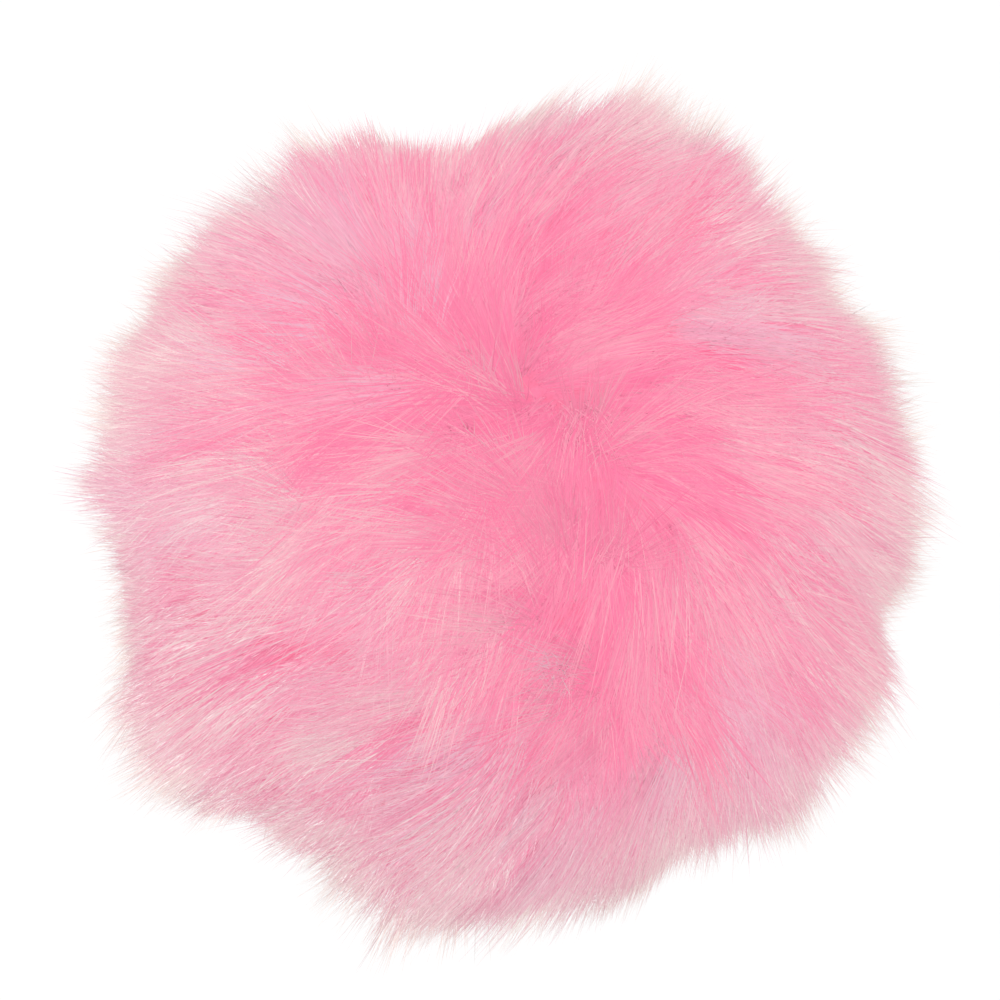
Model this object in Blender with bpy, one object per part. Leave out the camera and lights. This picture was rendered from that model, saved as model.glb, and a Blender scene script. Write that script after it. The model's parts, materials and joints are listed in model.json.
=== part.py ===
"""Faux-fur pom pom: a gathered ball of long-pile fur fabric that lies on a table.

The pom pom is one piece, so it is one solid. The dense inner pile is a ball with a small
flat spot where it presses on the table. The outer pile is a few hundred locks, and each
grows out of one facet of that ball as a three-sided tuft that curves away from the crown
and narrows to a soft tip. The locks stand apart but for their roots, because every corner
of a lock follows the strand of fur that grows from its own root, and strands don't cross.
Those underneath are shorter, and bend outwards to rest level on the table.

Units are metres and +Z is up. The origin is on the table, under the middle of the pom pom.
"""

import math
import random

import bmesh
import bpy
from mathutils import Matrix, Vector

# The dense inner pile
PILE_RADIUS = 0.040
PILE_CENTRE = Vector((0.0, 0.0, 0.0385))
PILE_POINTS = 152  # corners of the ball; it has twice as many facets less four
PILE_UNEVENNESS = 0.0008
CORNER_JITTER = 0.13  # how far a corner strays from its even place, as a share of the spacing
PRESSED_BAND = 0.0010  # corners this near the table are pressed onto it

# The crown, where the pile parts and stands straight up, seen from the middle of the ball
CROWN = Vector((0.010, 0.012, 0.0490)).normalized()

# The strands of the outer pile
CROWN_REACH = 0.0550  # from the middle of the ball to the tips at the top
SWEEP_DEG = 10.0  # how far a tip is combed past its root, away from the crown
SWEEP_STARTS_DEG = 50.0  # the combing reaches its full angle this far from the crown
RISE_SHARE = 0.55  # a strand leaves its root straight for this share of its length
REST_HEIGHT = 0.0  # the height that the lowest tips tend towards
SPLAY_SHARPNESS = 6.0  # how suddenly strands turn level as they near the table

# The locks
LOCK_GAP = 0.0007  # from a lock's root to the edge of its facet
LOWEST_ROOT = 0.0030  # facets whose middle is nearer the table than this carry no lock
SHORTEST_SHARE = 0.88  # the shortest and longest locks, as shares of the strands' length
LONGEST_SHARE = 1.13
TIP_WANDER = 0.6  # how far a tip strays from over the middle of its root, from 0 to 1

# How far the fur reaches from the middle at each bearing, all round the pom pom's rim
RIM_COLUMNS = ("bearing_deg", "reach_mm")
RIM = (
    (0, 54.5),
    (18, 55.5),
    (36, 53.0),
    (50, 55.0),
    (60, 57.0),
    (71, 58.0),
    (84, 53.5),
    (97, 49.0),
    (108, 51.0),
    (116, 55.0),
    (135, 54.5),
    (150, 54.5),
    (174, 55.0),
    (188, 52.0),
    (200, 54.0),
    (214, 58.5),
    (224, 57.0),
    (236, 53.0),
    (247, 53.0),
    (257, 56.5),
    (272, 54.0),
    (286, 53.0),
    (297, 51.0),
    (310, 55.5),
    (330, 57.0),
    (346, 52.0),
)

# A lock's width at each step along it, as a share of its width at the root
LOCK_COLUMNS = ("along", "width")
LOCK_PROFILE = (
    (0.25, 0.97),
    (0.53, 0.80),
    (0.80, 0.46),
    (1.00, 0.06),
)

SEED = 2

FUR_COLOUR = (0.92, 0.40, 0.56, 1.0)
FUR_ROUGHNESS = 0.75
SMOOTH_BELOW_DEG = 50.0


def clear_scene():
    for obj in list(bpy.data.objects):
        bpy.data.objects.remove(obj, do_unlink=True)


def fur_material():
    material = bpy.data.materials.new("pink_faux_fur")
    material.use_nodes = True
    shader = material.node_tree.nodes["Principled BSDF"]
    shader.inputs["Base Color"].default_value = FUR_COLOUR
    shader.inputs["Roughness"].default_value = FUR_ROUGHNESS
    shader.inputs["Metallic"].default_value = 0.0
    return material


def rim_reach(bearing_deg):
    """The rim's reach in metres, eased between the rows of RIM."""
    bearing_deg %= 360.0
    rows = RIM + ((RIM[0][0] + 360, RIM[0][1]),)
    for (start, near), (end, far) in zip(rows, rows[1:]):
        if bearing_deg <= end:
            share = (bearing_deg - start) / (end - start)
            ease = share * share * (3.0 - 2.0 * share)
            return (near + (far - near) * ease) / 1000.0
    return rows[-1][1] / 1000.0


def fur_reach(direction):
    """How far the tips reach from the middle of the ball in this direction."""
    rim = rim_reach(math.degrees(math.atan2(direction.y, direction.x)))
    steepness = direction.z * direction.z
    return rim + (CROWN_REACH - rim) * steepness


def even_directions(count, dice):
    """Directions spread evenly by the golden angle, as a spiral that starts at the crown."""
    golden_angle = math.pi * (3.0 - math.sqrt(5.0))
    stray = CORNER_JITTER * math.sqrt(4.0 * math.pi / count)
    to_crown = Vector((0.0, 0.0, 1.0)).rotation_difference(CROWN)
    for index in range(count):
        height = 1.0 - (2.0 * index + 1.0) / count
        across = math.sqrt(1.0 - height * height)
        turn = golden_angle * index
        jitter = Vector([dice.uniform(-stray, stray) for _ in range(3)])
        spot = Vector((across * math.cos(turn), across * math.sin(turn), height))
        yield to_crown @ (spot + jitter).normalized()


def add_pile(mesh, dice):
    """The faceted ball of dense pile, pressed flat where it meets the table."""
    corners = []
    for direction in even_directions(PILE_POINTS, dice):
        radius = PILE_RADIUS + dice.uniform(-PILE_UNEVENNESS, PILE_UNEVENNESS)
        corner = PILE_CENTRE + direction * radius
        if corner.z < PRESSED_BAND:
            corner.z = 0.0
        corners.append(mesh.verts.new(corner))
    bmesh.ops.convex_hull(mesh, input=corners)
    bmesh.ops.recalc_face_normals(mesh, faces=mesh.faces)
    mesh.normal_update()


def swept(direction):
    """The direction combed away from the crown, fully at the sides and not underneath."""
    share = min(1.0, CROWN.angle(direction) / math.radians(SWEEP_STARTS_DEG))
    above = 1.0 - max(0.0, -direction.z)
    sweep = math.radians(SWEEP_DEG) * share * above
    return Matrix.Rotation(sweep, 3, CROWN.cross(direction).normalized()) @ direction


def splayed(direction):
    """The direction turned up, where it points so far down that the table is in the way."""
    if direction.z >= 0.0:
        return direction
    steepest = (PILE_CENTRE.z - REST_HEIGHT) / fur_reach(direction)
    crowding = (-direction.z / steepest) ** SPLAY_SHARPNESS
    down = -direction.z / (1.0 + crowding) ** (1.0 / SPLAY_SHARPNESS)
    level = direction.to_2d().normalized() * math.sqrt(1.0 - down * down)
    return Vector((level.x, level.y, -down))


def strand_point(root, along):
    """The point at this share of the strand that grows from this point of the pile."""
    outward = (root - PILE_CENTRE).normalized()
    aim = splayed(swept(outward))
    tip = PILE_CENTRE + aim * fur_reach(aim)
    bend = root + outward * (tip - root).length * RISE_SHARE
    bend.z = max(bend.z, min(root.z, tip.z))
    return root.lerp(bend, along).lerp(bend.lerp(tip, along), along)


def point_within(corners, dice):
    """A point inside these corners, which strays from their middle by up to TIP_WANDER."""
    weights = [1.0 + dice.uniform(-TIP_WANDER, TIP_WANDER) for _ in corners]
    weighted = [corner * weight for corner, weight in zip(corners, weights)]
    return sum(weighted, Vector()) / sum(weights)


def add_locks(mesh, dice):
    """Grows a lock out of every facet that is clear of the table.

    Each facet carries the number of its plan, which every extrusion hands on to the tip.
    """
    plan_number = mesh.faces.layers.int.new("plan_number")
    facets = [
        facet
        for facet in mesh.faces
        if facet.calc_center_median().z > LOWEST_ROOT
    ]
    bmesh.ops.inset_individual(mesh, faces=facets, thickness=LOCK_GAP)
    plans = []
    for facet in facets:
        facet[plan_number] = len(plans)
        roots = [corner.co.copy() for corner in facet.verts]
        narrows_to = point_within(roots, dice)
        length = dice.uniform(SHORTEST_SHARE, LONGEST_SHARE)
        plans.append((roots, narrows_to, length))
    tips = facets
    for along, width in LOCK_PROFILE:
        tips = bmesh.ops.extrude_discrete_faces(mesh, faces=tips)["faces"]
        for tip in tips:
            roots, narrows_to, length = plans[tip[plan_number]]
            for corner, root in zip(tip.verts, roots):
                corner.co = strand_point(narrows_to.lerp(root, width), along * length)
    return len(facets)


def centre_on_origin(mesh):
    """Moves the pom pom sideways, so that the middle of its box is over the origin."""
    places = [corner.co for corner in mesh.verts]
    middle = [
        (min(place[axis] for place in places) + max(place[axis] for place in places)) / 2.0
        for axis in (0, 1)
    ]
    bmesh.ops.translate(mesh, verts=mesh.verts, vec=(-middle[0], -middle[1], 0.0))


def make_pom_pom(collection):
    dice = random.Random(SEED)
    mesh = bmesh.new()
    add_pile(mesh, dice)
    locks = add_locks(mesh, dice)
    centre_on_origin(mesh)
    data = bpy.data.meshes.new("pom_pom")
    mesh.to_mesh(data)
    mesh.free()
    data.materials.append(fur_material())
    data.shade_smooth()
    data.set_sharp_from_angle(angle=math.radians(SMOOTH_BELOW_DEG))
    pom_pom = bpy.data.objects.new("pom_pom", data)
    collection.objects.link(pom_pom)
    print(f"pom pom with {locks} locks")
    return pom_pom


def main():
    clear_scene()
    collection = bpy.data.collections.new("pom_pom")
    bpy.context.scene.collection.children.link(collection)
    make_pom_pom(collection)


main()
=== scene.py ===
"""The looks of a pink faux-fur pom pom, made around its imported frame.

The pom pom is a ball of dense underfur, wrapped in the long strands of the outer pile.
Strands grow in wisps, wisps gather into tufts, and tufts into locks. On top they follow the
strokes of a comb, which part near the crown, where the fur is matted and stands up. Below
they point outward, and splay out level on the table. Each strand is a thin ribbon, coloured
from a deep pink near its root to a creamy pale pink at its tip.

Units are metres and +Z is up. The origin is on the table, under the middle of the pom pom.
A direction is seen from the middle of the ball. Its height is its z, which runs from -1 for
straight down to 1 for straight up.
"""

import json
import math

import bpy
import numpy as np
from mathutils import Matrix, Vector
from mathutils.kdtree import KDTree

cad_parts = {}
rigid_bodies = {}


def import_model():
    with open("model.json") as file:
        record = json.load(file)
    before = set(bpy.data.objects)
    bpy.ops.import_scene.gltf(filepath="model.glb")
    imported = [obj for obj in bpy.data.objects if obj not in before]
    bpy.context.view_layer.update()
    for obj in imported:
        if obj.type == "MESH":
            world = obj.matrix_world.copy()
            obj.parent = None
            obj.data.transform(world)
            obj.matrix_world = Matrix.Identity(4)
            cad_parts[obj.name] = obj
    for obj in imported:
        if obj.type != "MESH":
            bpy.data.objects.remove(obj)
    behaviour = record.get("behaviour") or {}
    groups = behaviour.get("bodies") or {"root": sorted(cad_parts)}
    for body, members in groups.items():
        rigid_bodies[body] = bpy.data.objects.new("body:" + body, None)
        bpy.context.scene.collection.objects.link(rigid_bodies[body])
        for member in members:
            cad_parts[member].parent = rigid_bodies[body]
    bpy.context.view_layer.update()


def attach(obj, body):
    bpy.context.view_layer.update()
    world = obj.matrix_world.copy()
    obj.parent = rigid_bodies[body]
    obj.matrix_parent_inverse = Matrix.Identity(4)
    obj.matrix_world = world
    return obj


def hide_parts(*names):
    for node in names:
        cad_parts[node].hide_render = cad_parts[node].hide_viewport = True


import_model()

SEED = 5
MM_PER_M = 1000.0

# Added where a sum or a length could otherwise be none
LEAST_WEIGHT = 1e-12
LEAST_LENGTH = 1e-9
LEAST_ACROSS = 1e-6

# The ball: the strands are rooted just below the surface of the dense underfur
PILE_CENTRE = np.array((0.0, 0.0, 0.0385))
ROOT_RADIUS = 0.0415
UNDERFUR_RADIUS = 0.0445
UNDERFUR_DETAIL = 6  # the subdivisions of its icosphere
UNDERFUR_SWELL = 0.0030  # the underfur's extra depth where strokes of the comb part
SWELL_HEIGHTS = (0.75, 0.90)  # the swell is none at the first height and full at the second
UNDERFUR_EASE = 0.004  # lower than this, the underfur flattens towards the table
UNDERFUR_REST = 0.0008  # it comes no nearer the table than this

# The crown, near which the pile parts, seen from the middle of the ball
CROWN_OFFSET = np.array((0.010, 0.012, 0.0490))
CROWN = CROWN_OFFSET / np.linalg.norm(CROWN_OFFSET)

# The way that a strand takes from its root to its tip
CROWN_REACH = 0.0550  # from the middle of the ball to the tips at the top
LAY = 0.26  # how far the comb's pull lays the strands over
DROOP = 0.50  # the comb's downward pull, where its level pull is 1
RISE_SHARE = 0.26  # how far out a strand bends, as a share of its length
REST_HEIGHT = 0.0  # the height that the lowest tips tend towards
SPLAY_SHARPNESS = 6.0  # how suddenly strands turn level as they near the table
FLOOR_CUSHION = 0.0008  # lower than this, strands are eased up from the table
LEAST_CLEARANCE = 0.00005  # no ribbon comes nearer the table than this

# How far the fur reaches from the middle at each bearing, all round the pom pom's rim
RIM_COLUMNS = ("bearing_deg", "reach_mm")
RIM = (
    (0, 56.2),
    (8, 55.4),
    (16, 55.9),
    (24, 54.9),
    (32, 52.5),
    (40, 53.9),
    (48, 55.0),
    (56, 58.5),
    (64, 57.5),
    (72, 58.5),
    (80, 55.9),
    (88, 52.3),
    (96, 48.2),
    (104, 49.6),
    (112, 53.1),
    (120, 55.3),
    (128, 53.5),
    (136, 56.0),
    (144, 55.3),
    (152, 54.1),
    (160, 55.8),
    (168, 54.5),
    (176, 55.5),
    (184, 52.8),
    (192, 52.3),
    (200, 53.6),
    (208, 58.2),
    (216, 58.9),
    (224, 56.2),
    (232, 52.9),
    (240, 52.7),
    (248, 55.7),
    (256, 57.6),
    (264, 56.5),
    (272, 54.5),
    (280, 53.4),
    (288, 53.2),
    (296, 50.9),
    (304, 53.5),
    (312, 56.3),
    (320, 56.7),
    (328, 58.0),
    (336, 56.0),
    (344, 52.4),
    (352, 54.4),
)

# Which way the fur is combed, seen from above: strokes of a comb at places on the ball
COMB_COLUMNS = ("x_mm", "y_mm", "bearing_deg")
COMB = (
    # all round the rim, from the left through the bottom
    (-52, 8, 176),
    (-50, -10, 200),
    (-45, -24, 217),
    (-36, -38, 219),
    (-20, -45, 213),
    (-4, -47, 216),
    (9, -49, 234),
    (21, -43, 261),
    (33, -38, 290),
    (43, -28, 310),
    (48, -12, 339),
    (51, 4, 353),
    (49, 20, 0),
    (41, 34, 23),
    (29, 47, 52),
    (14, 52, 55),
    (2, 50, 60),
    (-6, 47, 67),
    (-13, 47, 110),
    (-24, 46, 144),
    (-38, 38, 156),
    (-49, 27, 157),
    # halfway in
    (-28, 32, 160),
    (-30, 16, 172),
    (-30, 2, 195),
    (-28, -12, 195),
    (-24, -26, 219),
    (-12, -36, 208),
    (4, -33, 198),
    (14, -26, 225),
    (24, -26, 257),
    (32, -14, 324),
    (33, 0, 326),
    (34, 14, 340),
    (30, 28, 4),
    (16, 38, 34),
    (3, 38, 46),
    (-6, 39, 49),
    (-14, 38, 139),
    # on either side of the parting
    (-18, 24, 167),
    (-12, 10, 192),
    (-10, -3, 197),
    (-6, -16, 198),
    (6, -14, 200),
    (4, -2, 191),
    (2, 12, 185),
    (-5, 30, 46),
    (-3, 23, 45),
    (5, 27, 39),
    (16, 26, 11),
    (18, 14, 334),
    (19, 0, 315),
    (20, -12, 304),
)
STROKE_REACH = 0.0075  # a stroke's pull fades out over about twice this distance
FIRMNESS = 3.0  # the larger, the less the pull weakens where strokes disagree
COMB_SPHERE = 0.048  # directions meet the strokes and the parting on a ball of this radius
COMB_HEIGHTS = (-0.10, 0.25)  # outward up to the first height, and the comb's from the second
COMB_STRAY = 0.04  # how far tufts stray from the strokes, as a share of the ball's radius
WAVES = 6  # the waves that turn the comb's pull a little to and fro
WAVE_TURNS = 16.0  # how tight they are, in radians of wave to the ball's radius
WAVE_LEAN = 0.12  # how far they turn the pull, in radians
OUTWARD_GROWTH = 0.90  # the share of a strand's outward growth that the comb holds back
GROWTH_HEIGHTS = (0.3, 0.8)  # none of it up to the first height, and all from the second

# Where the pile parts, from the back of the pom pom to the front
PARTING_COLUMNS = ("x_mm", "y_mm")
PARTING = (
    (-10, 44),
    (-12, 28),
    (-10, 20),
    (0, 17),
    (9, 15),
    (11, 5),
    (12, -6),
    (17, -15),
)

# Near the parting the fur is calm: it is matted, and plain in colour
CALM_REACH = 0.0165  # calm fades out over about this distance from the parting
CALM_HEIGHTS = (0.36, 0.76)  # none at the first height and all from the second
CALM_UNEVENNESS = 0.15  # how far the mottling eats into the calm
CALM_LIFT = 0.55  # how much less the comb lays the strands over
CALM_LIFT_SHARPNESS = 3
CALM_DISORDER = 0.8  # how much further the locks and the tufts lean
CALM_TIDINESS = 0.4  # how much less the wisps and the strands lean
CALM_STEADINESS = 0.8  # how much less the ribbons roll
CALM_WIDTH = 0.15  # how much wider the ribbons are
CALM_SMOOTHNESS = 0.5  # how much more evenly the lying strands are lit
CALM_COVER = 0.95  # how far the calm colour covers the others
CALM_COLOUR = (0.94, 0.19, 0.35, 1.0)

# Gaps where locks part and the deeper pile shows, with painted shade in them, and locks with a
# painted cool sheen, a reflection laid on as colour
PATCH_COLUMNS = ("x_mm", "y_mm", "length_mm", "width_mm", "bearing_deg", "strength")
GAPS = (
    # broad stretches of deeper colour
    (21, 40, 26, 16.0, 40, 0.32),
    (44, 10, 36, 14.0, 90, 0.16),
    (-27, -25, 26, 14.0, 215, 0.20),
    (36, 30, 20, 12.0, 20, 0.14),
    (-43, -11, 24, 12.0, 100, 0.12),
    # narrow gaps
    (-33, 26, 13, 3.0, 152, 0.40),
    (-20, 22, 9, 3.0, 150, 0.35),
    (21, 24, 9, 3.5, 40, 0.50),
    (31, 20, 9, 3.5, 315, 0.45),
    (27, 28, 8, 3.0, 0, 0.35),
    (18, 45, 7, 3.0, 20, 0.35),
    (12, 37, 9, 3.5, 40, 0.25),
    (-28, -19, 11, 3.0, 190, 0.40),
    (22, -14, 11, 3.0, 300, 0.50),
    (16, -13, 6, 4.0, 270, 0.35),
    (32, -20, 8, 4.0, 320, 0.40),
    (45, -17, 9, 3.5, 315, 0.35),
    (1, -30, 16, 3.0, 200, 0.45),
    (-12, -28, 8, 3.0, 205, 0.35),
    (-15, -36, 16, 3.0, 200, 0.45),
    (-35, -32, 9, 3.0, 215, 0.35),
    (-42, -23, 7, 3.5, 200, 0.35),
    (-8, -41, 11, 2.5, 205, 0.30),
    (35, -6, 9, 2.5, 325, 0.40),
    (-23, -4, 11, 2.5, 195, 0.30),
)
SHEENS = (
    (-23, 29, 26, 4.0, 163, 0.8),
    (-6, 37, 15, 3.5, 38, 0.6),
    (-22, 37, 22, 9.0, 160, 0.5),
    (29, -28, 19, 16.0, 250, 0.55),
    (7, -42, 18, 8.0, 210, 0.4),
    (-7, 22, 9, 4.0, 265, 0.6),
    (-36, 17, 13, 4.0, 178, 0.6),
    (1, -27, 14, 4.0, 205, 0.5),
    (-13, -32, 16, 4.0, 200, 0.6),
    (-4, -37, 16, 3.5, 200, 0.6),
    (33, 24, 12, 4.0, 345, 0.6),
    (28, -30, 14, 8.0, 262, 0.5),
    (-44, -2, 12, 6.0, 182, 0.4),
)
SHOWN_SHARE = 0.85  # the share of the way along a wisp at which patches and mottling meet it
PATCH_HEIGHTS = (0.0, 0.25)  # no patches up to the first height, and full ones from the second
GAP_DIP = 0.45  # how much shorter the strands in a gap are

# The bundles that strands grow in. Jitter is a share of the spacing of the roots, and the
# spread of lengths is a share of the longest.
LOCKS = {"count": 550, "jitter": 0.25, "lean_deg": 4.5, "length_spread": 0.24}
TUFTS = {"count": 6000, "jitter": 0.30, "lean_deg": 2.6, "length_spread": 0.20}
WISPS = {"count": 44000, "jitter": 0.30, "lean_deg": 2.4, "length_spread": 0.12}
CROWDING = 1.12  # above 1, roots stand closer together at the crown
LENGTH_TONE = 0.7  # how much of a bundle's tone comes from its length
CHANCE_TONE = 0.3  # and how much from chance
MOST_LEAN = 1.6  # random leans are cut off at this many times their usual size
PULL_SHARPNESS = 1.6  # how much of the gathering and the leaning comes near the tips
MOST_PULL = 1.2  # the pull beyond which strands gather no further to their wisp
WISP_GATHER = (0.1, 0.6)  # how far strands gather to their wisp, at least and at most
TUFT_GATHER = 0.70  # how far wisps gather to their tuft
LOCK_GATHER = 0.50  # and tufts to their lock, which comes nearer the tips
LOCK_GATHER_SHARPNESS = 2

# The strands of a wisp, of which a few are short
STRANDS_IN_WISP = 7
SHORT_STRANDS = 2
ROOT_SPREAD = 0.45  # how far roots stray from their wisp's, as a share of the wisps' spacing
STRAND_LEAN_DEG = 1.8
SHORT_LEAN_DEG = 3.0
LENGTH_SPREAD = 0.14  # how much shorter a strand can be, as a share of the longest
SHORT_SHARES = (0.50, 0.85)  # and what is left of the short ones' lengths
LONGEST_SHARE = 1.32  # how far along their way the longest go, where 1 is the fur's reach
BANDS = ("fur_crown", "fur_shoulder", "fur_side", "fur_lower", "fur_under")

# The ribbons
STRAND_WIDTH = 0.00013
WIDTH_SHARES = (0.65, 1.30)  # the narrowest and the widest, as shares of that width
STRAND_COLUMNS = ("along", "width")
STRAND_PROFILE = ((0.12, 0.85), (0.68, 1.00), (1.00, 0.0))
MOST_ROLL = 0.6  # how far a ribbon is rolled about its own length, in radians
ROUNDNESS = 0.3  # how far a ribbon's own flat side sets how it is lit
SMOOTHNESS = 0.4  # and how far the surface of the ball does
STANDING_SHARPNESS = 4  # how upright a strand has to be to count as standing
BAKE_COLUMNS = 512  # the cells in a row of the map for baking, one for each strand
BAKE_SIDE_MARGIN = 0.2  # the margins round a strand, as shares of its cell
BAKE_END_MARGIN = 0.05

# A strand's tone moves its colour towards that of its tip, which is paler
LOCK_TONE = 0.3  # how much of its lock's tone it takes on
TUFT_TONE = 0.6  # and of its tuft's
WISP_TONE = 0.3  # and of its wisp's
TONE_SHIFT = 0.14  # how far a tone of 1 moves the colour, as a share of the strand's length
GAP_DEPTH = 5.2  # how far gaps lower the tone
MOTTLE = 1.35  # how far the mottling moves it
MOTTLE_WAVES = 24
MOTTLE_TURNS = 60.0
MOST_MOTTLE = 1.2  # where the waves of the mottling are cut off
LOW_MOTTLE = 0.45  # the share of it that shows on the sides and underneath
MOTTLE_TOP = 0.55  # the height from which all of it shows
# Around its sides the fur is paler, partly from its own pale tips and partly as painted rim light
PALEST_HEIGHT = -0.1  # the fur is palest at this height
RIM_PALENESS = 0.5  # how fast the tone rises towards it
EVEN_DISTANCE = 0.6  # this far above or below it, the rise adds nothing
RIM_DISTANCES = (0.65, 0.15)  # the tips turn pale from the first to the second distance
TIP_PALENESS = 0.38  # how far that moves a tip's colour
TIP_SHARPNESS = 8.0  # how near a strand's end its tip starts

# Where the fur faces away from the light, the painted shade is deeper and more painted glints
# show
AWAY_FROM_LIGHT_BASE = 0.05  # how far the fur counts as facing away from the light where it is halfway between facing it and facing away
TOWARDS_LIGHT = (0.55, 0.65, 0.30)  # facing away from the light falls along this way, towards the light

# A strand's own tone and painted shade, which change its brightness: the painted shade is darker
# in gaps, in the darker mottling and in shorter tufts, which lie deeper
STRAND_CONTRAST = 0.06  # how far a shade of 1 changes it
STRAND_CONTRAST_AWAY_FROM_LIGHT = 1.2  # how much further apart strands are where the fur faces away from the light
SHADED_MOTTLE = 1.3  # how much the mottling darkens them
SHADED_GAP = 3.5  # and the gaps
SHADED_TUFT = 0.8  # and how much the tone of their tuft shades them
SHADE_RISE = 0.35  # a rise for all, which makes up for what is darkened
SHADE_BASE = 0.3  # the share of these that counts where the fur doesn't face away from the light
SHADE_AWAY_FROM_LIGHT = 2.0  # and how fast that share rises as the fur faces further away from it

# Each strand is crimped: its colour and brightness waver along it in a pattern of its own, as
# painted glints and shade from the crimps
CRIMPS = 9.0  # how many times along it
CRIMP_ROWS = 9000.0  # how far apart in the noise the strands take their patterns
CRIMP_GLINT_SHIFT = 0.16  # how far it moves the colour's place on the ramp
CRIMP_GLINT_CONTRAST = 0.6  # and the brightness, as a share of that
# Painted glints: white highlights laid on as colour
GLINT_RANGE = (0.69, 0.75)  # the noise at which painted glints start, and at which they are full
GLINT_COLOUR = (0.98, 0.90, 0.92, 1.0)
# the colour of the painted sheen
SHEEN_COLOUR = (0.76, 0.50, 0.61, 1.0)

# Colours by the share of the way along a strand, and of the underfur by its noise
ALONG_SHARE = 0.47  # how much of a colour's place depends on the place along the strand
MIDDLE_ALONG = 1.00  # the place along it that the rest stands for
PALEST = 1.6  # the share at which the ramp ends
STRAND_COLOURS = (
    (0.35, (0.97, 0.14, 0.27, 1.0)),
    (0.70, (0.90, 0.29, 0.44, 1.0)),
    (0.95, (0.83, 0.45, 0.53, 1.0)),
    (1.20, (0.83, 0.63, 0.62, 1.0)),
    (1.50, (0.90, 0.76, 0.72, 1.0)),
)
FUR_ROUGHNESS = 0.6
FUR_SPECULAR = 0.06
UNDERFUR_COLOURS = (
    (0.30, (0.94, 0.17, 0.31, 1.0)),
    (0.70, (0.94, 0.22, 0.38, 1.0)),
)
UNDERFUR_ROUGHNESS = 0.8
FUZZ_SCALE = 900.0
FUZZ_DETAIL = 4.0
FUZZ_BUMP = 0.8
FUZZ_HEIGHT = 0.0006

# The floor, and the light of the studio: brightest from above and a little behind
FLOOR_SIZE = 6.0
FLOOR_COLOUR = (0.92, 0.92, 0.92, 1.0)
FLOOR_ROUGHNESS = 0.7
SKY_COLOUR = (1.0, 1.0, 1.0, 1.0)
SKY_TOP = (-0.10, 0.34, 0.85)
SKY_DIMMEST = 0.55
SKY_BRIGHTEST = 1.25
SHADE_REACH = 0.00009  # after one bounce, only what is nearer than this shades the fur

# The camera looks straight down, and is set by the size of the photo's pixels at the rim
PHOTO_PIXELS = 1000
PIXEL = 0.000131
MIDDLE_PIXELS = (-5.0, 12.0)  # the middle of the photo, seen from the middle of the pom pom
CAMERA_DISTANCE = 0.60
SENSOR_MM = 36.0

# The numbers of a Mix node's sockets for A, B and the result, by the type of its values
MIX_SOCKETS = {"FLOAT": (2, 3, 0), "RGBA": (6, 7, 2)}


def unit(vectors):
    return vectors / np.linalg.norm(vectors, axis=-1, keepdims=True)


def fade(values, start, end):
    """From 0 at the start to 1 at the end, evenly, and level beyond them."""
    return np.clip((values - start) / (end - start), 0.0, 1.0)


def rim_reach(bearings_deg):
    """The rim's reach in metres, eased between the rows of RIM."""
    table = np.array(RIM + ((RIM[0][0] + 360, RIM[0][1]),), dtype=float)
    bearings_deg = bearings_deg % 360.0
    row = np.searchsorted(table[:, 0], bearings_deg, side="right") - 1
    row = np.clip(row, 0, len(RIM) - 1)
    share = (bearings_deg - table[row, 0]) / (table[row + 1, 0] - table[row, 0])
    ease = share * share * (3.0 - 2.0 * share)
    return (table[row, 1] + (table[row + 1, 1] - table[row, 1]) * ease) / MM_PER_M


def fur_reach(directions):
    """How far the tips reach from the middle of the ball in these directions."""
    rim = rim_reach(np.degrees(np.arctan2(directions[..., 1], directions[..., 0])))
    return rim + (CROWN_REACH - rim) * directions[..., 2] ** 2


def spacing_of(count):
    """How far apart this many directions are, spread evenly over the ball, as an angle."""
    return math.sqrt(4.0 * math.pi / count)


def even_directions(count, dice, jitter):
    """Directions spread by the golden angle in a spiral from the crown, a little closer there."""
    index = np.arange(count)
    height = 1.0 - 2.0 * ((index + 0.5) / count) ** CROWDING
    across = np.sqrt(1.0 - height * height)
    turn = index * math.pi * (3.0 - math.sqrt(5.0))
    spots = np.stack((across * np.cos(turn), across * np.sin(turn), height), axis=1)
    to_crown = Vector((0.0, 0.0, 1.0)).rotation_difference(Vector(CROWN)).to_matrix()
    stray = dice.normal(0.0, jitter * spacing_of(count), (count, 3))
    return unit(spots @ np.array(to_crown).T + stray)


def from_parting(places):
    """How far these places, in metres seen from above, are from the parting."""
    corners = np.array(PARTING) / MM_PER_M
    nearest = np.full(len(places), np.inf)
    for start, end in zip(corners, corners[1:]):
        run = end - start
        share = np.clip((places - start) @ run / (run @ run), 0.0, 1.0)
        away = np.linalg.norm(places - start - share[:, None] * run, axis=1)
        nearest = np.minimum(nearest, away)
    return nearest


def calm_share(directions):
    """How calm the fur is: 1 on the parting, and 0 far from it and underneath."""
    away = from_parting(directions[:, :2] * COMB_SPHERE)
    return np.exp(-((away / CALM_REACH) ** 2)) * fade(directions[:, 2], *CALM_HEIGHTS)


def combed_above(directions):
    """The pull of the strokes near these directions. Where strokes disagree, it is weak."""
    strokes = np.array(COMB, dtype=float)
    offset = directions[:, None, :2] * COMB_SPHERE - strokes[None, :, :2] / MM_PER_M
    weights = np.exp(-(offset**2).sum(axis=2) / (2.0 * STROKE_REACH**2)) + LEAST_WEIGHT
    bearings = np.radians(strokes[:, 2])
    ways = np.stack((np.cos(bearings), np.sin(bearings)), axis=1)
    above = weights @ ways / weights.sum(axis=1, keepdims=True)
    length = np.linalg.norm(above, axis=1, keepdims=True)
    return above * np.minimum(FIRMNESS, 1.0 / length)


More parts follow.
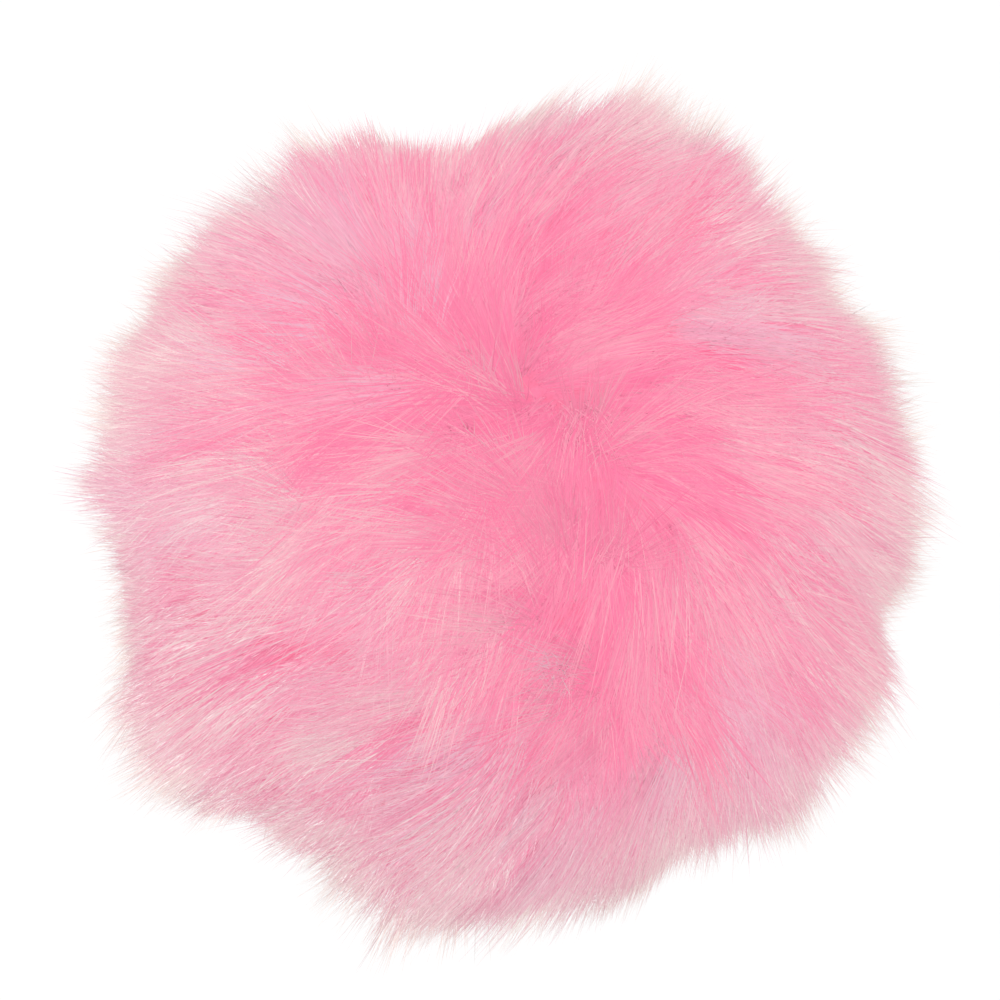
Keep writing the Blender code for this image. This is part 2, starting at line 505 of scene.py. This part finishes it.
def waves(places, dice, count, turns):
    """A smooth field over these directions that swings between about -1 and 1."""
    ways = unit(dice.normal(0.0, 1.0, (count, 3)))
    starts = dice.uniform(0.0, 2.0 * math.pi, count)
    swings = np.sin(places @ ways.T * turns + starts)
    return swings.sum(axis=1) * math.sqrt(2.0 / count)


def turned(pull, angles):
    """The pull turned by these angles, seen from above."""
    cosine, sine = np.cos(angles), np.sin(angles)
    x, y, z = pull.T
    return np.stack((x * cosine - y * sine, x * sine + y * cosine, z), axis=1)


def combing(directions):
    """The comb's pull where strands grow: the strokes above, and outward below.

    Strands grow outward by themselves. Near the top the comb holds that back, but only
    across its own way, so a stroke that runs outward keeps its full pull.
    """
    outward = unit(directions[:, :2] + LEAST_LENGTH)
    combed = fade(directions[:, 2:], *COMB_HEIGHTS)
    level = outward + (combed_above(directions) - outward) * combed
    held_back = OUTWARD_GROWTH * fade(directions[:, 2:], *GROWTH_HEIGHTS)
    growth = directions[:, :2] * held_back
    way = unit(level + LEAST_LENGTH)
    level = level - growth + way * (growth * way).sum(axis=1, keepdims=True)
    lift = CALM_LIFT * calm_share(directions)[:, None] ** CALM_LIFT_SHARPNESS
    level = level * (1.0 - lift)
    return np.concatenate((level, np.full((len(level), 1), -DROOP)), axis=1)


def splayed(directions):
    """The directions turned up, where the table is in the way."""
    depth = np.maximum(0.0, -directions[..., 2])
    steepest = (PILE_CENTRE[2] - REST_HEIGHT) / fur_reach(directions)
    crowding = (depth / steepest) ** SPLAY_SHARPNESS
    down = depth / (1.0 + crowding) ** (1.0 / SPLAY_SHARPNESS)
    level = unit(directions[..., :2] + LEAST_LENGTH) * np.sqrt(1.0 - down * down)[..., None]
    raised = np.concatenate((level, -down[..., None]), axis=-1)
    return np.where(depth[..., None] > 0.0, raised, directions)


def eased_up(heights, cushion):
    """The heights, with those below this cushion eased up, so that none is down to 0."""
    sunk = np.minimum(heights / cushion - 1.0, 0.0)
    return np.where(sunk < 0.0, cushion * np.exp(sunk), heights)


def strand_points(directions, along, pull):
    """The points at these shares of the strands rooted at these directions."""
    roots = PILE_CENTRE + directions * ROOT_RADIUS
    level = pull - (pull * directions).sum(axis=-1, keepdims=True) * directions
    above = 1.0 - np.maximum(0.0, -directions[..., 2:])
    aims = splayed(unit(directions + level * LAY * above))
    tips = PILE_CENTRE + aims * fur_reach(aims)[..., None]
    lengths = np.linalg.norm(tips - roots, axis=-1, keepdims=True)
    bends = roots + directions * lengths * RISE_SHARE
    bends[..., 2] = np.maximum(bends[..., 2], np.minimum(roots[..., 2], tips[..., 2]))
    along = along[..., None]
    first = roots + (bends - roots) * along
    second = bends + (tips - bends) * along
    points = first + (second - first) * along
    points[..., 2] = eased_up(points[..., 2], FLOOR_CUSHION)
    return points


def patch_cover(places, patches):
    """How far these places, in metres seen from above, lie within patches, from 0 to 1."""
    cover = np.zeros(len(places))
    for x, y, length, width, bearing_deg, strength in patches:
        bearing = math.radians(bearing_deg)
        offset = places * MM_PER_M - (x, y)
        lengthwise = offset @ (math.cos(bearing), math.sin(bearing)) / (length / 2.0)
        crosswise = offset @ (-math.sin(bearing), math.cos(bearing)) / (width / 2.0)
        cover = np.maximum(cover, strength * np.exp(-(lengthwise**2) - crosswise**2))
    return cover


def parents(children, elders):
    """The index of the elder nearest to each child."""
    tree = KDTree(len(elders))
    for index, elder in enumerate(elders):
        tree.insert(elder, index)
    tree.balance()
    return np.array([tree.find(child)[1] for child in children])


def random_leans(count, dice):
    """Leans to random sides, none of them extreme."""
    return np.clip(dice.normal(0.0, 1.0, (count, 3)), -MOST_LEAN, MOST_LEAN)


def make_bundles(dice, count, jitter, lean_deg, length_spread):
    """Bundles of strands. The shorter one is, the deeper it lies and the stronger its colour."""
    height = dice.uniform(-1.0, 1.0, count)
    return {
        "root": even_directions(count, dice, jitter),
        "lean": math.radians(lean_deg) * random_leans(count, dice),
        "length": 1.0 - length_spread * (0.5 - 0.5 * height),
        "tone": LENGTH_TONE * height + CHANCE_TONE * dice.uniform(-1.0, 1.0, count),
    }


def grow_wisps(dice):
    """The locks, the tufts and the wisps, with all that depends on where a wisp grows.

    The parent of a wisp is the nearest tuft, and that of a tuft is the nearest lock.
    """
    locks = make_bundles(dice, **LOCKS)
    tufts = make_bundles(dice, **TUFTS)
    wisps = make_bundles(dice, **WISPS)
    root = wisps["root"]
    wisps["gather"] = dice.uniform(*WISP_GATHER, len(root))
    tufts["parent"] = parents(tufts["root"], locks["root"])
    wisps["parent"] = parents(root, tufts["root"])
    stray = dice.normal(0.0, COMB_STRAY, (len(tufts["root"]), 3))
    comb = combing(unit(root + stray[wisps["parent"]]))
    wisps["comb"] = turned(comb, WAVE_LEAN * waves(root, dice, WAVES, WAVE_TURNS))
    shown = strand_points(root, np.full(len(root), SHOWN_SHARE), wisps["comb"])
    above = fade(root[:, 2], *PATCH_HEIGHTS)
    wisps["gap"] = patch_cover(shown[:, :2], GAPS) * above
    # how much painted sheen each wisp takes on
    wisps["sheen"] = patch_cover(shown[:, :2], SHEENS) * above
    mottle = waves(unit(shown - PILE_CENTRE), dice, MOTTLE_WAVES, MOTTLE_TURNS)
    wisps["mottle"] = np.clip(mottle, -MOST_MOTTLE, MOST_MOTTLE)
    eaten = CALM_UNEVENNESS * (1.0 + np.clip(mottle, -1.0, 1.0))
    wisps["calm"] = calm_share(root) * (1.0 - eaten)
    # how far each wisp faces away from the light, which deepens the painted shade and brings the
    # painted glints
    wisps["away_from_light"] = np.clip(AWAY_FROM_LIGHT_BASE - root @ TOWARDS_LIGHT, 0.0, 1.0)
    wisps["length"] *= 1.0 - GAP_DIP * wisps["gap"]
    return locks, tufts, wisps


def grow_strands(wisp, wisps, dice):
    """Strands that each grow in one of these wisps, which are given by their numbers."""
    count = len(wisp)
    short = np.arange(count) % STRANDS_IN_WISP < SHORT_STRANDS
    stray = ROOT_SPREAD * spacing_of(len(wisps["root"]))
    lean = np.radians(np.where(short, SHORT_LEAN_DEG, STRAND_LEAN_DEG))
    length = 1.0 - dice.uniform(0.0, 1.0, count) ** 2 * LENGTH_SPREAD
    return {
        "wisp": wisp,
        "root": wisps["root"][wisp] + dice.normal(0.0, stray, (count, 3)),
        "lean": random_leans(count, dice) * lean[:, None],
        "length": length * np.where(short, dice.uniform(*SHORT_SHARES, count), 1.0),
        "width": dice.uniform(*WIDTH_SHARES, count),
        "tone": dice.uniform(-1.0, 1.0, count),
        "roll": dice.uniform(-MOST_ROLL, MOST_ROLL, count),
    }


def strand_centres(strands, locks, tufts, wisps, steps_along):
    """How far along each strand its steps are, and the points on its middle line there."""
    wisp = strands["wisp"]
    tuft = wisps["parent"][wisp]
    lock = tufts["parent"][tuft]
    length = strands["length"] * wisps["length"][wisp] * tufts["length"][tuft]
    length = (length * locks["length"][lock])[:, None]
    along = steps_along[None, :] * length * LONGEST_SHARE
    pull = along[..., None] ** PULL_SHARPNESS
    held = np.minimum(pull, 1.0)
    gather = wisps["gather"][wisp][:, None, None] * np.minimum(pull, MOST_PULL)
    root = strands["root"][:, None, :]
    wisp_root = wisps["root"][wisp][:, None, :]
    tuft_root = tufts["root"][tuft][:, None, :]
    lock_root = locks["root"][lock][:, None, :]
    place = root + (wisp_root - root) * gather
    place = place + (tuft_root - wisp_root) * TUFT_GATHER * held
    place = place + (lock_root - tuft_root) * LOCK_GATHER * held**LOCK_GATHER_SHARPNESS
    calm = wisps["calm"][wisp][:, None]
    lean = (locks["lean"][lock] + tufts["lean"][tuft]) * (1.0 + CALM_DISORDER * calm)
    lean = lean + (wisps["lean"][wisp] + strands["lean"]) * (1.0 - CALM_TIDINESS * calm)
    place = unit(place + lean[:, None, :] * pull)
    return along, strand_points(place, along, wisps["comb"][wisp][:, None, :])


def ribbon_sides(centres, roll, calm):
    """The way across each ribbon at its steps, and the normals that light it.

    A strand that lies is lit as a part of the fur's surface, and one that stands as a
    ribbon of its own.
    """
    roll = (roll * (1.0 - CALM_STEADINESS * calm))[:, None, None]
    tangents = unit(np.gradient(centres, axis=1))
    outward = unit(centres - PILE_CENTRE)
    across = unit(np.cross(outward, tangents) + LEAST_ACROSS)
    facing = np.cross(tangents, across)
    side = across * np.cos(roll) + facing * np.sin(roll)
    flat = facing * np.cos(roll) - across * np.sin(roll)
    standing = (tangents * outward).sum(axis=-1, keepdims=True) ** STANDING_SHARPNESS
    lying = 1.0 - standing
    smooth = SMOOTHNESS + CALM_SMOOTHNESS * calm[:, None, None] * lying
    normals = unit(facing * lying + flat * (ROUNDNESS + standing) + outward * smooth)
    return side, normals


def along_ribbons(left, right):
    """The values at the steps of both edges of each ribbon, in the order of its points.

    Each step has a point on either edge, but the last is one point, midway: the tip.
    """
    count, steps = left.shape[:2]
    values = np.empty((count, 2 * steps - 1, *left.shape[2:]))
    values[:, 0:-1:2] = left[:, :-1]
    values[:, 1:-1:2] = right[:, :-1]
    values[:, -1] = (left[:, -1] + right[:, -1]) / 2.0
    return values


def ribbon_faces(count, steps):
    """The faces of this many ribbons: four-sided ones, and a three-sided one at each tip."""
    tip = 2 * steps - 2
    first = np.arange(count)[:, None, None] * (tip + 1)
    lower = np.arange(steps - 2)[None, :, None] * 2
    quads = (first + lower + np.array((1, 0, 2, 3))[None, None, :]).reshape(-1, 4)
    triangles = (first + np.array((tip - 1, tip - 2, tip))).reshape(-1, 3)
    return quads, triangles


def strand_shades(strands, locks, tufts, wisps):
    """What the material reads of each strand.

    The tone moves its colour, and the strand's own tone and painted shade its brightness.
    The rim says how pale its tip turns, partly as painted rim light. The sheen says how much
    painted sheen there is, calm how calm the fur is, and away_from_light how far it faces
    away from the light, which deepens the painted shade and brings painted glints.
    """
    wisp = strands["wisp"]
    tuft = wisps["parent"][wisp]
    lock = tufts["parent"][tuft]
    height = wisps["root"][wisp][:, 2]
    calm, away_from_light, gap = wisps["calm"][wisp], wisps["away_from_light"][wisp], wisps["gap"][wisp]
    from_palest = np.abs(height - PALEST_HEIGHT)
    mottled = LOW_MOTTLE + (1.0 - LOW_MOTTLE) * fade(height, 0.0, MOTTLE_TOP)
    tone = LOCK_TONE * locks["tone"][lock] + TUFT_TONE * tufts["tone"][tuft]
    tone = tone + WISP_TONE * wisps["tone"][wisp]
    # paler around the sides, partly painted rim light
    tone = tone + RIM_PALENESS * (EVEN_DISTANCE - from_palest)
    tone = tone + MOTTLE * wisps["mottle"][wisp] * mottled - GAP_DEPTH * gap
    # painted shade: darker in gaps, in the darker mottling and in shorter tufts, most where the
    # fur faces away from the light
    shade = SHADED_MOTTLE * np.minimum(wisps["mottle"][wisp], 0.0) - SHADED_GAP * gap
    shade = shade + SHADED_TUFT * tufts["tone"][tuft] + SHADE_RISE
    shade = shade * (SHADE_BASE + SHADE_AWAY_FROM_LIGHT * away_from_light) * (1.0 - calm)
    return {
        "tone": tone,
        "rim": fade(from_palest, *RIM_DISTANCES),
        "sheen": wisps["sheen"][wisp],
        "calm": calm,
        "away_from_light": away_from_light,
        "strand": strands["tone"] * (1.0 + STRAND_CONTRAST_AWAY_FROM_LIGHT * away_from_light) + shade,
    }


def new_mesh(name, points, quads, triangles):
    """A mesh from arrays of points, four-sided faces and three-sided faces."""
    mesh = bpy.data.meshes.new(name)
    mesh.vertices.add(len(points))
    mesh.vertices.foreach_set("co", points.astype(np.float32).ravel())
    corners = np.concatenate((quads.ravel(), triangles.ravel())).astype(np.int32)
    mesh.loops.add(len(corners))
    mesh.loops.foreach_set("vertex_index", corners)
    sizes = np.concatenate((np.full(len(quads), 4), np.full(len(triangles), 3)))
    starts = np.concatenate(((0,), np.cumsum(sizes)[:-1])).astype(np.int32)
    mesh.polygons.add(len(sizes))
    mesh.polygons.foreach_set("loop_start", starts)
    mesh.update(calc_edges=True)
    mesh.shade_smooth()
    return mesh


def write_attribute(mesh, name, values):
    """Gives each point of the mesh a number, which the material reads by this name."""
    made = mesh.attributes.new(name, "FLOAT", "POINT")
    made.data.foreach_set("value", values.astype(np.float32).ravel())


def write_bake_map(mesh, count, steps, quads, triangles):
    """A UV map that gives each strand its own narrow cell."""
    rows = math.ceil(count / BAKE_COLUMNS)
    strand = np.arange(count)
    left = (strand % BAKE_COLUMNS + BAKE_SIDE_MARGIN) / BAKE_COLUMNS
    right = left + (1.0 - 2.0 * BAKE_SIDE_MARGIN) / BAKE_COLUMNS
    bottom = (strand // BAKE_COLUMNS + BAKE_END_MARGIN) / rows
    tall = (1.0 - 2.0 * BAKE_END_MARGIN) / rows
    heights = bottom[:, None] + tall * np.arange(steps) / (steps - 1)
    edges = [
        np.stack(np.broadcast_arrays(edge[:, None], heights), axis=-1)
        for edge in (left, right)
    ]
    places = along_ribbons(*edges).reshape(-1, 2)
    corners = np.concatenate((quads.ravel(), triangles.ravel()))
    layer = mesh.uv_layers.new(name="OFBake")
    layer.data.foreach_set("uv", places[corners].astype(np.float32).ravel())


def strand_mesh(name, strands, locks, tufts, wisps):
    """One mesh of the ribbons of these strands."""
    profile = np.array(STRAND_PROFILE)
    count, steps = len(strands["wisp"]), len(profile)
    calm = wisps["calm"][strands["wisp"]]
    along, centres = strand_centres(strands, locks, tufts, wisps, profile[:, 0])
    side, normals = ribbon_sides(centres, strands["roll"], calm)
    width = STRAND_WIDTH * strands["width"] * (1.0 + CALM_WIDTH * calm)
    half = side * (width[:, None] * profile[None, :, 1])[..., None] / 2.0
    points = along_ribbons(centres - half, centres + half)
    points[..., 2] = np.maximum(points[..., 2], LEAST_CLEARANCE)
    normals = along_ribbons(normals, normals)
    quads, triangles = ribbon_faces(count, steps)
    mesh = new_mesh(name, points.reshape(-1, 3), quads, triangles)
    mesh.normals_split_custom_set_from_vertices(normals.reshape(-1, 3))
    write_attribute(mesh, "along", along_ribbons(along, along))
    for shade, values in strand_shades(strands, locks, tufts, wisps).items():
        write_attribute(mesh, shade, np.repeat(values, points.shape[1]))
    write_bake_map(mesh, count, steps, quads, triangles)
    return mesh


def feed(tree, socket, value):
    """Links the socket to another one, or sets it to a number or a colour."""
    if isinstance(value, bpy.types.NodeSocket):
        tree.links.new(value, socket)
    else:
        socket.default_value = value


def attribute(tree, name):
    """The number that write_attribute gave the mesh by this name."""
    node = tree.nodes.new("ShaderNodeAttribute")
    node.attribute_name = name
    return node.outputs["Fac"]


def calculated(tree, operation, *values):
    """The result of this sum on these numbers and sockets."""
    node = tree.nodes.new("ShaderNodeMath")
    node.operation = operation
    for socket, value in zip(node.inputs, values):
        feed(tree, socket, value)
    return node.outputs["Value"]


def mapped(tree, value, from_range, to_range):
    """The value carried from one range to another, and held at the ends of it."""
    node = tree.nodes.new("ShaderNodeMapRange")
    feed(tree, node.inputs["Value"], value)
    names = ("From Min", "From Max", "To Min", "To Max")
    for name, end in zip(names, (*from_range, *to_range)):
        node.inputs[name].default_value = end
    return node.outputs["Result"]


def mixed(tree, data_type, share, first, second):
    """The first value, with this share of the second laid over it."""
    node = tree.nodes.new("ShaderNodeMix")
    node.data_type = data_type
    first_socket, second_socket, result = MIX_SOCKETS[data_type]
    feed(tree, node.inputs["Factor"], share)
    feed(tree, node.inputs[first_socket], first)
    feed(tree, node.inputs[second_socket], second)
    return node.outputs[result]


def ramped(tree, value, stops):
    """The colour at this value on a ramp of positions and their colours."""
    node = tree.nodes.new("ShaderNodeValToRGB")
    elements = node.color_ramp.elements
    elements[0].position, elements[0].color = stops[0]
    elements[1].position, elements[1].color = stops[-1]
    for position, colour in stops[1:-1]:
        elements.new(position).color = colour
    feed(tree, node.inputs["Fac"], value)
    return node.outputs["Color"]


def crimp_noise(tree, along, strand):
    """Noise along a strand, in a row of its own so that no two strands look alike."""
    place = tree.nodes.new("ShaderNodeCombineXYZ")
    feed(tree, place.inputs["X"], calculated(tree, "MULTIPLY", along, CRIMPS))
    feed(tree, place.inputs["Y"], calculated(tree, "MULTIPLY", strand, CRIMP_ROWS))
    noise = tree.nodes.new("ShaderNodeTexNoise")
    noise.noise_dimensions = "2D"
    feed(tree, noise.inputs["Scale"], 1.0)
    feed(tree, noise.inputs["Detail"], 0.0)
    feed(tree, noise.inputs["Vector"], place.outputs["Vector"])
    return noise.outputs["Fac"]


def fur_material():
    material = bpy.data.materials.new("pink_fur_strands")
    material.use_nodes = True
    tree = material.node_tree
    along = attribute(tree, "along")
    strand = attribute(tree, "strand")
    calm = attribute(tree, "calm")
    noise = crimp_noise(tree, along, strand)
    crimp_glint = mapped(tree, noise, (0.0, 1.0), (-CRIMP_GLINT_SHIFT, CRIMP_GLINT_SHIFT))

    # Where on the ramp of colours this point of the strand is
    elsewhere = MIDDLE_ALONG * (1.0 - ALONG_SHARE)
    position = calculated(tree, "MULTIPLY_ADD", along, ALONG_SHARE, elsewhere)
    tone = attribute(tree, "tone")
    position = calculated(tree, "MULTIPLY_ADD", tone, TONE_SHIFT, position)
    tip = calculated(tree, "POWER", along, TIP_SHARPNESS)
    tip.node.use_clamp = True
    paleness = calculated(tree, "MULTIPLY", attribute(tree, "rim"), TIP_PALENESS)
    position = calculated(tree, "MULTIPLY_ADD", tip, paleness, position)
    position = calculated(tree, "ADD", position, crimp_glint)
    position = calculated(tree, "DIVIDE", position, PALEST)

    # The colour there, plainer where the fur is calm, and with its painted sheen and its painted
    # glints
    colour = ramped(tree, position, [(place / PALEST, stop) for place, stop in STRAND_COLOURS])
    cover = calculated(tree, "MULTIPLY", calm, CALM_COVER)
    colour = mixed(tree, "RGBA", cover, colour, CALM_COLOUR)
    colour = mixed(tree, "RGBA", attribute(tree, "sheen"), colour, SHEEN_COLOUR)
    # painted glints where the noise is high, most where the fur faces away from the light
    glint = mapped(tree, noise, GLINT_RANGE, (0.0, 1.0))
    glint = calculated(tree, "MULTIPLY", glint, attribute(tree, "away_from_light"))
    colour = mixed(tree, "RGBA", glint, colour, GLINT_COLOUR)

    # How bright it is: with the painted glints and shade of its crimps, unless the fur is calm,
    # and with the strand's own tone and painted shade
    brightness = calculated(tree, "MULTIPLY_ADD", crimp_glint, CRIMP_GLINT_CONTRAST, 1.0)
    brightness = mixed(tree, "FLOAT", calm, brightness, 1.0)
    brightness = calculated(tree, "MULTIPLY_ADD", strand, STRAND_CONTRAST, brightness)
    shaded = tree.nodes.new("ShaderNodeHueSaturation")
    feed(tree, shaded.inputs["Color"], colour)
    feed(tree, shaded.inputs["Value"], brightness)

    shader = tree.nodes["Principled BSDF"]
    feed(tree, shader.inputs["Base Color"], shaded.outputs["Color"])
    feed(tree, shader.inputs["Roughness"], FUR_ROUGHNESS)
    feed(tree, shader.inputs["Specular IOR Level"], FUR_SPECULAR)
    return material


def underfur_material():
    material = bpy.data.materials.new("pink_underfur")
    material.use_nodes = True
    tree = material.node_tree
    place = tree.nodes.new("ShaderNodeTexCoord")
    fuzz = tree.nodes.new("ShaderNodeTexNoise")
    feed(tree, fuzz.inputs["Scale"], FUZZ_SCALE)
    feed(tree, fuzz.inputs["Detail"], FUZZ_DETAIL)
    feed(tree, fuzz.inputs["Vector"], place.outputs["Object"])
    bump = tree.nodes.new("ShaderNodeBump")
    feed(tree, bump.inputs["Strength"], FUZZ_BUMP)
    feed(tree, bump.inputs["Distance"], FUZZ_HEIGHT)
    feed(tree, bump.inputs["Height"], fuzz.outputs["Fac"])
    shader = tree.nodes["Principled BSDF"]
    colour = ramped(tree, fuzz.outputs["Fac"], UNDERFUR_COLOURS)
    feed(tree, shader.inputs["Base Color"], colour)
    feed(tree, shader.inputs["Roughness"], UNDERFUR_ROUGHNESS)
    feed(tree, shader.inputs["Normal"], bump.outputs["Normal"])
    return material


def make_underfur(collection):
    """The dense underfur as a ball, pressed flat underneath."""
    bpy.ops.mesh.primitive_ico_sphere_add(
        subdivisions=UNDERFUR_DETAIL, radius=UNDERFUR_RADIUS, location=(0, 0, 0)
    )
    ball = bpy.context.object
    ball.name = "underfur"
    mesh = ball.data
    points = np.empty(len(mesh.vertices) * 3, np.float32)
    mesh.vertices.foreach_get("co", points)
    directions = points.reshape(-1, 3).astype(float) / UNDERFUR_RADIUS
    standing = 1.0 - np.linalg.norm(combed_above(directions), axis=1)
    swell = UNDERFUR_SWELL * standing * fade(directions[:, 2], *SWELL_HEIGHTS)
    points = PILE_CENTRE + directions * (UNDERFUR_RADIUS + swell[:, None])
    points[:, 2] = np.maximum(eased_up(points[:, 2], UNDERFUR_EASE), UNDERFUR_REST)
    mesh.vertices.foreach_set("co", points.astype(np.float32).ravel())
    mesh.update()
    mesh.shade_smooth()
    mesh.materials.append(underfur_material())
    for holder in list(ball.users_collection):
        holder.objects.unlink(ball)
    collection.objects.link(ball)
    return ball


def make_fur(collection):
    """The strands as one piece for each band of the ball, from the crown down."""
    dice = np.random.default_rng(SEED)
    locks, tufts, wisps = grow_wisps(dice)
    material = fur_material()
    per_band = WISPS["count"] // len(BANDS)
    pieces = []
    for number, name in enumerate(BANDS):
        in_band = np.arange(number * per_band, (number + 1) * per_band)
        strands = grow_strands(np.repeat(in_band, STRANDS_IN_WISP), wisps, dice)
        mesh = strand_mesh(name, strands, locks, tufts, wisps)
        mesh.materials.append(material)
        piece = bpy.data.objects.new(name, mesh)
        collection.objects.link(piece)
        pieces.append(piece)
    return pieces


def make_floor():
    bpy.ops.mesh.primitive_plane_add(size=FLOOR_SIZE, location=(0, 0, 0))
    floor = bpy.context.object
    floor.name = "floor"
    material = bpy.data.materials.new("pale_floor")
    material.use_nodes = True
    shader = material.node_tree.nodes["Principled BSDF"]
    shader.inputs["Base Color"].default_value = FLOOR_COLOUR
    shader.inputs["Roughness"].default_value = FLOOR_ROUGHNESS
    floor.data.materials.append(material)


def make_camera():
    """A camera straight above, which frames the pom pom's rim as the photo does."""
    data = bpy.data.cameras.new("camera")
    data.sensor_width = SENSOR_MM
    data.lens = CAMERA_DISTANCE * SENSOR_MM / (PHOTO_PIXELS * PIXEL)
    camera = bpy.data.objects.new("camera", data)
    x, y = MIDDLE_PIXELS
    camera.location = (x * PIXEL, y * PIXEL, PILE_CENTRE[2] + CAMERA_DISTANCE)
    bpy.context.scene.collection.objects.link(camera)
    bpy.context.scene.camera = camera


def make_lights():
    """A large soft dome of light that is a little brighter from one side."""
    world = bpy.data.worlds.new("studio")
    world.use_nodes = True
    tree = world.node_tree
    place = tree.nodes.new("ShaderNodeTexCoord")
    height = tree.nodes.new("ShaderNodeVectorMath")
    height.operation = "DOT_PRODUCT"
    feed(tree, height.inputs[0], place.outputs["Generated"])
    feed(tree, height.inputs[1], Vector(SKY_TOP).normalized())
    sky_range = (SKY_DIMMEST, SKY_BRIGHTEST)
    strength = mapped(tree, height.outputs["Value"], (-1.0, 1.0), sky_range)
    feed(tree, tree.nodes["Background"].inputs["Color"], SKY_COLOUR)
    feed(tree, tree.nodes["Background"].inputs["Strength"], strength)
    world.cycles.sampling_method = "NONE"
    world.light_settings.distance = SHADE_REACH
    scene = bpy.context.scene
    scene.world = world
    scene.view_settings.view_transform = "Standard"
    scene.cycles.use_fast_gi = True
    scene.cycles.fast_gi_method = "REPLACE"
    scene.cycles.ao_bounces_render = 1


def main():
    collection = bpy.data.collections.new("pom_pom")
    bpy.context.scene.collection.children.link(collection)
    make_camera()
    underfur = make_underfur(collection)
    pieces = make_fur(collection)
    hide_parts("pom_pom")
    for piece in [underfur, *pieces]:
        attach(piece, "root")
    make_floor()
    make_lights()


main()
